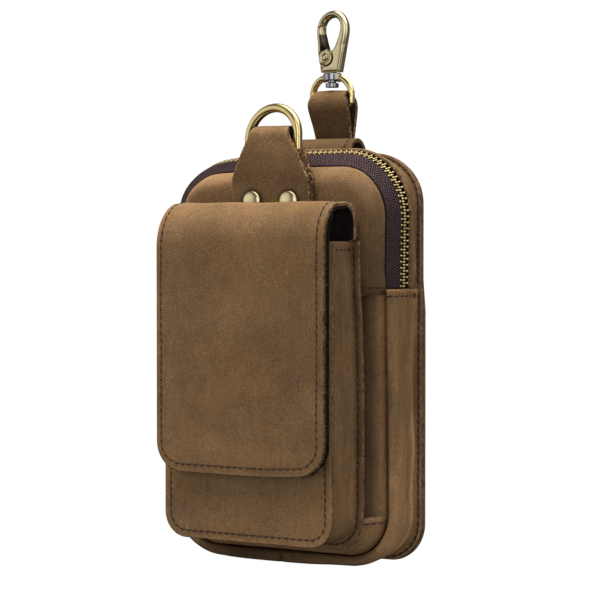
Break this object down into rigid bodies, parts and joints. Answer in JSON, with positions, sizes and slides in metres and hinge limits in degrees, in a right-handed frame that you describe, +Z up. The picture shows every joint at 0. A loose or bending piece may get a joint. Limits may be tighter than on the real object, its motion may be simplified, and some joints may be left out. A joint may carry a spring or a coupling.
{
  "type": "belt bag",
  "caption": "Upright leather belt bag with a zipped main pouch, a flapped front pouch, a ring tab, a belt loop behind and a strap with a swivel snap hook.",
  "frame": {"origin": "inside top of the belt loop, where a belt carries the bag", "axes": "+X to the right as seen from the front, +Y from the front pouch to the belt loop behind, +Z up along the bag"},
  "size_m": [0.1262, 0.0839, 0.2495],
  "materials": {
    "leather": "waxed, mottled brown with a soft sheen",
    "zip_tape": "woven, matte",
    "lining": "brushed, matte",
    "brass": "antique, polished on the high places"
  },
  "bodies": {
    "bag": {"back_panel": "leather", "gusset_lower_left": "leather", "gusset_lower_right": "leather", "gusset_upper": "leather", "panel_upper": "leather", "panel_middle": "leather", "panel_lower": "leather", "pouch_front": "leather", "pouch_gusset": "leather", "flap": "leather", "ring_tab": "leather", "belt_loop": "leather", "hook_strap": "leather", "zip_tape_front": "zip_tape", "zip_tape_rear": "zip_tape", "zip_teeth": "brass", "zip_slider": "brass", "d_ring": "brass", "rivet_left": "brass", "rivet_right": "brass", "swivel_ring": "brass", "flap_lining": "lining"},
    "hook": {"hook_body": "brass", "gate_pin": "brass"},
    "gate": {"gate": "brass"}
  },
  "joints": [
    {"name": "hook_swivel", "type": "hinge", "parent": "bag", "child": "hook", "pos_m": [0, 0.0073, 0.0307], "axis": [0, 0, 1], "continuous": true},
    {"name": "gate_hinge", "type": "hinge", "parent": "hook", "child": "gate", "pos_m": [-0.0022, 0.0073, 0.0396], "axis": [0, 1, 0], "range_deg": [0, 30], "stiffness_Nm_per_rad": 0.02}
  ]
}
